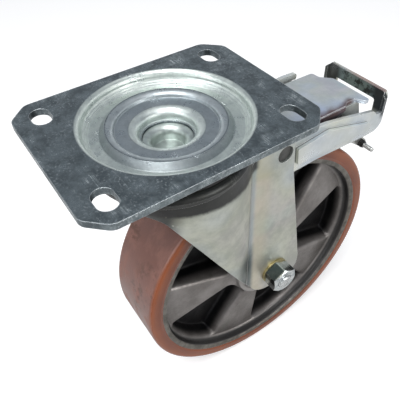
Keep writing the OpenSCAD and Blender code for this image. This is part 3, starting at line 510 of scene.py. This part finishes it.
def bolt(node, body, material, place, radius, pitch, flats, head_h, thread_x, turn):
    """Hexagon bolt along X, as long as its CAD node: chamfered head, shank, and a thread up to its tip."""
    low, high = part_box(node)
    head_x, tip_x = low.x, high.x
    core = radius - 0.55*pitch
    corner = flats/math.sqrt(3)
    under = head_x + head_h
    overlap = 0.0005
    shank = lathe([(under - overlap, radius), (thread_x - pitch, radius), (thread_x, core),
                   (tip_x - pitch, core), (tip_x - 0.3*pitch, core), (tip_x, core - 0.35*pitch)], 64, place)
    head = lathe([(head_x, 0.82*corner), (head_x + 0.10*head_h, 0.97*corner), (head_x + 0.16*head_h, corner),
                  (under, corner)], 6, place, turn)
    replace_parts(piece(node + "_body", [shank, head], material, body), node)
    # The thread is a square wire wound on the core, sunk into it at both ends
    run = tip_x - thread_x - 0.8*pitch
    steps_a_turn = 36
    steps = int(steps_a_turn*run/pitch)
    path = []
    for i in range(steps + 1):
        a = 2*math.pi*run/pitch*i/steps
        fade = min(1.0, 6*i/steps, 6*(steps - i)/steps)
        r = core + (radius - core)*(0.35*fade + 0.10)
        path.append((place[0] + thread_x + run*i/steps, place[1] + r*math.cos(a), place[2] + r*math.sin(a)))
    wire(node + "_body_thread", path, 0.5*pitch, 4, material, body)


joint_place = {joint["name"]: tuple(joint["pos_m"]) for joint in frame["joints"]}
AXLE = joint_place["wheel_spin"]
bolt_steel = turned_metal("bolt_steel", (0.60, 0.62, 0.62), 0.22)
bolt("axle_bolt", "fork", bolt_steel, AXLE, radius=0.006, pitch=0.00175, flats=0.019, head_h=0.0075,
     thread_x=0.030, turn=math.radians(30))
# The nut's flats that face the front and the top are painted dark as shade
nut, w, principled, place = shader("nut_steel", Metallic=0.95)
x, y, z = w.axes(place)
flats_painted_shade = w.product(w.step(w.calc("SUBTRACT", y, AXLE[1]), 0.0004, -0.0012),
                  w.step(w.calc("SUBTRACT", z, AXLE[2]), -0.0012, 0.0016), w.step(x, 0.0445, 0.0432))
corner = w.use(edge_wear_and_highlight, {"Radius": 0.0005})
nut_tone = w.mix(w.step(w.noise(place, 240.0, 4.0), 0.35, 0.65), (0.42, 0.46, 0.47), (0.68, 0.71, 0.71))
colour = w.mix(w.product(flats_painted_shade, 0.96), nut_tone, (0.022, 0.034, 0.036))
# Edges painted lighter, part wear and part painted highlight
dress(w, principled, w.mix(w.product(corner["Mask"], 0.6), colour, (0.80, 0.82, 0.82)),
      w.step(w.noise(place, 900.0, 3.0), 0.3, 0.7, 0.14, 0.26), corner["Normal"])
coat(nut, "axle_nut")
coat(sheet_metal("yellow_zinc", (0.24, 0.19, 0.08), (0.42, 0.35, 0.16), 140.0, 0.3,
                 edge=(0.56, 0.52, 0.34)), "axle_washers")


# Bearings. A steel tube between the legs carries two deep-groove bearings of polished steel with rubber
# seals, pressed into the hub. A spacer keeps them apart, and a turned collar stands at each leg.
coat(oiled_steel, "axle_tube", "bearing_spacer")
coat(bolt_steel, "axle_collars")
for end in ("near", "far"):
    coat(polished_steel, end + "_inner_ring", end + "_outer_ring", end + "_bearing_balls")
    coat(seal_rubber, end + "_bearing_seals")


# Wheel centre. Cast aluminium with five spokes, turned at the rim and the hub. The pockets stay rough from
# the mould and are painted dark as shade, darker the deeper they go; the faces that stand proud keep the
# lighter cast tone.
def from_axle(wiring, place):
    """Distance from the wheel's middle plane and from its axle."""
    x, y, z = wiring.axes(place)
    y, z = wiring.calc("SUBTRACT", y, AXLE[1]), wiring.calc("SUBTRACT", z, AXLE[2])
    radius = wiring.calc("SQRT", wiring.calc("ADD", wiring.product(y, y), wiring.product(z, z)))
    return wiring.calc("ABSOLUTE", x), radius


cast, w, principled, place = shader("cast_aluminium", Metallic=0.7)
aside, radius = from_axle(w, place)
# Painted shade in the pockets, painted shadow on the barrel between the rims, and lighter turned faces on the
# rims and the hub
face = w.mix(w.step(w.noise(place, 46.0, 5.0, 0.65), 0.3, 0.72), (0.155, 0.142, 0.134), (0.265, 0.248, 0.238))
pocket_painted_shade = w.mix(w.step(w.noise(place, 70.0, 4.0), 0.35, 0.7), (0.005, 0.005, 0.006), (0.016, 0.015, 0.015))
colour = w.mix(w.step(aside, 0.0085, 0.0158), pocket_painted_shade, face)
barrel_painted_shadow = w.product(w.step(radius, 0.0846, 0.0860), w.step(aside, 0.0218, 0.0230, 1.0, 0.0), 0.9)
colour = w.mix(barrel_painted_shadow, colour, (0.035, 0.034, 0.034))
rim = w.product(w.step(radius, 0.0864, 0.0869), w.step(aside, 0.0222, 0.0230))
grey = w.mix(w.step(w.noise(place, 150.0, 4.0, 0.7), 0.35, 0.65), (0.095, 0.088, 0.075), (0.20, 0.187, 0.165))
colour = w.mix(rim, colour, grey)
hub = w.product(w.step(radius, 0.0285, 0.0272), w.step(aside, 0.0225, 0.0240))
colour = w.mix(hub, colour, (0.34, 0.325, 0.31))
corner = w.use(edge_wear_and_highlight, {"Radius": 0.0007})
# Painted highlight along the edges of the proud faces
edge_light = w.product(corner["Mask"], w.step(aside, 0.014, 0.016), 0.45)
skin = w.noise(place, 420.0, 4.0, 0.65)
dress(w, principled, w.mix(edge_light, colour, (0.46, 0.45, 0.43)), w.step(skin, 0.25, 0.75, 0.34, 0.52),
      w.bump(skin, 0.0002, corner["Normal"]))

SPOKES = 5
# In millimetres: half the web in a pocket, the radius of the bore between the bearings and half its length
WEB, BORE, BEARING_STOP = 3.5, 20.5, 10.2
# Half section through a spoke as (radius, height), from the bearing's seat to the rim
SECTION = ((23.5, 25.9), (24.1, 26.5), (26.4, 26.5), (27.2, 25.7), (27.8, 22.5), (29.2, 21.5), (84.3, 16.0),
           (86.2, 17.6), (86.8, 22.7), (87.6, 23.5), (90.4, 23.5))
SEAT = SECTION[0][0]
# A pocket's two ends, half the spoke's width at each of them, and the radii between which the face is sunk
POCKET_IN, POCKET_OUT = 29.8, 85.6
SPOKE_HALF_IN, SPOKE_HALF_OUT = 6.5, 22.5
SUNK_FROM, SUNK_TO = 27.5, 86.0
# The pocket's rolled edge, the draft of its wall, the fillet at its floor and the rounding of its corners
ROLLED, DRAFT, FILLET, CORNER = 3.5, 1.5, 2.5, 6.0
half_step = math.pi/SPOKES
inner_turn = half_step - math.asin(SPOKE_HALF_IN/POCKET_IN)
outer_turn = half_step - math.asin(SPOKE_HALF_OUT/POCKET_OUT)
edge_from = Vector((math.cos(inner_turn), math.sin(inner_turn)))*POCKET_IN
along = (Vector((math.cos(outer_turn), math.sin(outer_turn)))*POCKET_OUT - edge_from).normalized()


def face_height(r):
    """Height of hub, spoke face or rim over the wheel's middle plane."""
    for (r0, h0), (r1, h1) in zip(SECTION, SECTION[1:]):
        if r <= r1:
            return h0 + (h1 - h0)*(r - r0)/(r1 - r0)
    return SECTION[-1][1]


def inside_pocket(r, a):
    """Distance inside the edge of a pocket, for a point at an angle from the pocket's own axis."""
    u, v = r*math.cos(a), abs(r*math.sin(a))
    gaps = ((u - edge_from.x)*along.y - (v - edge_from.y)*along.x,
            2*(POCKET_OUT - r) - ROLLED, 2*(u - edge_from.x) - ROLLED)
    return max(CORNER, min(gaps)) - math.sqrt(sum(max(CORNER - gap, 0.0)**2 for gap in gaps))


def wall_drop(d, depth):
    """Depth under the face: a rolled edge first, then a wall with draft, then a fillet at the floor."""
    if d <= -ROLLED:
        return 0.0
    if d <= 0:
        return ROLLED - math.sqrt(max(ROLLED**2 - (d + ROLLED)**2, 0.0))
    if d <= DRAFT:
        return ROLLED + (depth - FILLET - ROLLED)*d/DRAFT
    if d <= DRAFT + FILLET:
        return depth - FILLET + math.sqrt(max(FILLET**2 - (DRAFT + FILLET - d)**2, 0.0))
    return depth


def ring_angles(r):
    """Angles around the wheel at one radius, close together at the spokes' edges."""
    run = math.sqrt(max(r, POCKET_IN)**2 - edge_from.length_squared + edge_from.dot(along)**2)
    edge = edge_from + along*(run - edge_from.dot(along))
    turn = math.atan2(edge.y, edge.x)
    # Distances inside the pocket's edge; those below zero lie on the spoke
    beside = (4.0, 3.0, 2.2, 1.7, 1.5, 1.0, 0.5, 0.0, -0.4, -1.0, -1.8, -2.6, -3.2, -3.5)
    half = [(turn - beside[0]/r)*k/4 for k in range(4)] + [turn - d/r for d in beside]
    start = half[-1]
    half += [start + (half_step - start)*k/3 for k in (1, 2, 3)]
    one = [-a for a in reversed(half[1:])] + half[:-1]
    return [(2*half_step*i + a, a) for i in range(SPOKES) for a in one]


def around(r, angles, height):
    """The mesh's points at one radius, with a height from the angle in a pocket's own frame."""
    return [(height(own), r*math.cos(a), r*math.sin(a)) for a, own in angles]


# Radii of the mesh's rings, close together at the hub's edge, at both ends of the pockets and at the lip
radii = [SEAT, 24.1, 25.2, 26.4, 26.9, 27.2, 27.5] + [27.8 + 0.4*k for k in range(12)] + [33.2, 35.0]
radii += [38.0 + 4.0*k for k in range(10)] + [76.0, 78.0, 79.5] + [80.5 + 0.3*k for k in range(19)]
radii += [86.2, 86.5, 86.8, 87.1, 87.6, 90.4]
loops = []
for sign in (1, -1):
    rows = [around(r, ring_angles(SEAT), lambda own: sign*BEARING_STOP) for r in (BORE, SEAT)]
    for r in radii:
        top = face_height(r)
        if SUNK_FROM < r < SUNK_TO:
            height = lambda own: sign*(top - wall_drop(inside_pocket(r, own), top - WEB))
        else:
            height = lambda own: sign*top
        rows.append(around(r, ring_angles(r), height))
    loops += rows if sign < 0 else list(reversed(rows))
count, columns = len(loops), len(loops[0])
cast_verts = [(x/1000, AXLE[1] + y/1000, AXLE[2] + z/1000) for row in loops for x, y, z in row]
cast_faces = [(i*columns + k, i*columns + (k + 1) % columns, (i + 1) % count*columns + (k + 1) % columns,
               (i + 1) % count*columns + k) for i in range(count) for k in range(columns)]
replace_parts(piece("wheel_centre_cast", [(cast_verts, cast_faces)], cast, "wheel",
                  smooth=48), "wheel_centre")


# Tread. Cast polyurethane bonded to the rim: clear orange brown on the sides, where it shines like resin,
# and dull rose brown with rubbed patches where it rolls.
tread, w, principled, place = shader("tread_rubber", IOR=1.5, Subsurface_Weight=0.08)
principled.inputs["Subsurface Radius"].default_value = (0.004, 0.0015, 0.0006)
aside, radius = from_axle(w, place)
side = w.step(aside, 0.0205, 0.0232)
side_colour = w.mix(w.step(w.noise(place, 22.0, 3.0), 0.3, 0.7), (0.15, 0.030, 0.005), (0.22, 0.050, 0.010))
outer = w.product(w.step(radius, 0.0925, 0.0985), 0.45)
side_colour = w.mix(outer, side_colour, (0.33, 0.095, 0.03))
rubbed = w.step(w.noise(w.stretched(place, (0, 0, 0), (90, 55, 55)), 1.0, 5.0, 0.68), 0.44, 0.66)
rolling = w.mix(rubbed, (0.185, 0.078, 0.058), (0.25, 0.115, 0.088))
worn = w.product(w.step(w.noise(place, 115.0, 5.0, 0.7), 0.50, 0.60),
                 w.step(w.noise(place, 17.0, 2.0), 0.46, 0.56), 0.7)
rolling = w.mix(worn, rolling, (0.095, 0.036, 0.020))
fine = w.calc("ADD", w.noise(place, 700.0, 3.0, 0.6), w.product(rubbed, 1.5))
dull = w.mix(side, w.step(rubbed, 0.0, 1.0, 0.30, 0.50), (0.27, 0.27, 0.27))
dress(w, principled, w.mix(side, rolling, side_colour), dull, w.bump(fine, 0.00005))
coat(tread, "tread")


# Brake pivot. Steel pin through the legs, riveted flush below their outer faces. Two turned rings on it keep
# the brake's plates apart.
coat(turned_metal("pin_steel", (0.12, 0.12, 0.115), 0.46, rings=300.0), "pivot_pin")
coat(bolt_steel, "pivot_washers")


# Brake pedal. Strip steel folded into two walls and a raised front with a window, then zinc plated. A panel
# is pressed out of each wall, and painted shade runs along its foot.
PEDAL_HALF = 0.0281


def dark_front(wiring, place, colour):
    """The raised front is painted slate dark inside with blue blotches as a painted reflection, and rosy
    along its upper edge; painted shade lines the panel's foot.
    """
    x, back, rise = wiring.axes(place)
    off_middle = wiring.calc("ABSOLUTE", x)
    # Painted reflection: the inside of the raised front dark slate with blue blotches
    inner = wiring.product(wiring.band(back, (0.1480, 0.1512), (0.1536, 0.1544)),
                           wiring.step(rise, -0.0520, -0.0460), 0.92)
    blotch = wiring.product(wiring.step(off_middle, 0.0185, 0.0120),
                            wiring.step(wiring.noise(place, 150.0, 5.0, 0.7), 0.38, 0.54))
    colour = wiring.mix(inner, colour, wiring.mix(blotch, (0.016, 0.022, 0.028), (0.30, 0.40, 0.42)))
    rosy = wiring.product(wiring.step(back, 0.1480, 0.1520), wiring.step(rise, -0.0325, -0.0316),
                          wiring.step(x, -0.016, 0.004, 0.1, 0.65))
    colour = wiring.mix(rosy, colour, (0.40, 0.22, 0.22))
    # Painted shade along the foot of each wall's panel
    foot_painted_shade = wiring.band(wiring.calc("SUBTRACT", off_middle, PEDAL_HALF), (0.0001, 0.0002), (0.0007, 0.0010))
    return wiring.mix(wiring.product(foot_painted_shade, 0.85), colour, (0.05, 0.055, 0.055))


coat(sheet_metal("pedal_zinc", (0.66, 0.68, 0.64), (0.82, 0.84, 0.80), 34.0, 0.3, metallic=0.62,
                 rough=(0.24, 0.38), edge=(0.86, 0.88, 0.87), film_size=20.0, paint=dark_front),
     "brake_pedal")


# Brake plate and shoe. Two channels of sheet steel on the pivot pin, with the shoe below the plate. The
# plate's wide end shows a blue film, with a painted red reflection of the tread beside its near flange and
# painted shadow below.
def red_near_edge(wiring, place, colour):
    x, y, z = wiring.axes(place)
    ragged = wiring.calc("MULTIPLY_ADD", wiring.noise(place, 70.0, 4.0), 0.012, x)
    # Painted reddish reflection of the tread beside the near flange
    red = wiring.product(wiring.step(ragged, 0.0205, 0.0275), wiring.step(y, 0.132, 0.126), 0.9)
    colour = wiring.mix(red, colour, (0.13, 0.06, 0.052))
    # Painted shadow over the plate's lower part
    return wiring.mix(wiring.step(z, -0.0335, -0.0360, 0.0, 0.85), colour, (0.05, 0.05, 0.055))


coat(sheet_metal("plate_zinc_blue", (0.50, 0.56, 0.63), (0.68, 0.73, 0.80), 42.0, 0.5, metallic=0.6,
                 rough=(0.28, 0.42), edge=(0.80, 0.84, 0.86), specks=0.15, film_size=26.0,
                 paint=red_near_edge), "brake_plate")
coat(sheet_metal("shoe_zinc", (0.42, 0.43, 0.41), (0.60, 0.61, 0.58), 60.0, 0.4, metallic=0.8), "brake_shoe")


# Shoe bolt. M3 bolt of pale plated steel across the shoe's cheeks, turned to lie flat on the shoe. A lock nut
# whose collar is black plastic holds it.
nut_low, nut_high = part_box("shoe_nut")
shoe_place = (0.0, (nut_low.y + nut_high.y)/2, (nut_low.z + nut_high.z)/2)
FLAT_ON_SHOE = math.radians(13.4)
pale_steel = turned_metal("pale_bolt_steel", (0.72, 0.73, 0.71), 0.3, metallic=0.7)
bolt("shoe_bolt", "shoe", pale_steel, shoe_place, radius=0.0016, pitch=0.0005, flats=0.0055, head_h=0.0024,
     thread_x=nut_high.x - 0.002, turn=FLAT_ON_SHOE)
coat(moulded("lock_nut_black", (0.014, 0.014, 0.014), 0.42), "shoe_nut")


# Return spring. Round spring wire wound around the pin: one leg lies under the brake plate, and the other
# ends behind the fork's head.
PIVOT = joint_place["brake_shoe"]
COIL_R, COIL_HALF, TURNS, WIRE_R = 0.0070, 0.011, 7, 0.0009
FRONT_LEG, REAR_LEG, STEPS = 0.0142, 0.0158, 260
# Angles round the pin at which the two legs leave the coil
start, end = math.radians(194.7), math.radians(295 + 360*TURNS)
coil = [(COIL_HALF*(2*i/STEPS - 1), start + (end - start)*i/STEPS, 0.0) for i in range(STEPS + 1)]
spring_path = []
for x, angle, run in ((-COIL_HALF, start, -FRONT_LEG), *coil, (COIL_HALF, end, REAR_LEG)):
    spring_path.append((PIVOT[0] + x, PIVOT[1] + COIL_R*math.cos(angle) - run*math.sin(angle),
                        PIVOT[2] + COIL_R*math.sin(angle) + run*math.cos(angle)))
spring_steel = turned_metal("spring_steel", (0.20, 0.20, 0.20), 0.30)
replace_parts(wire("return_spring_wire", spring_path, WIRE_R, 14, spring_steel, "shoe"),
            "return_spring")
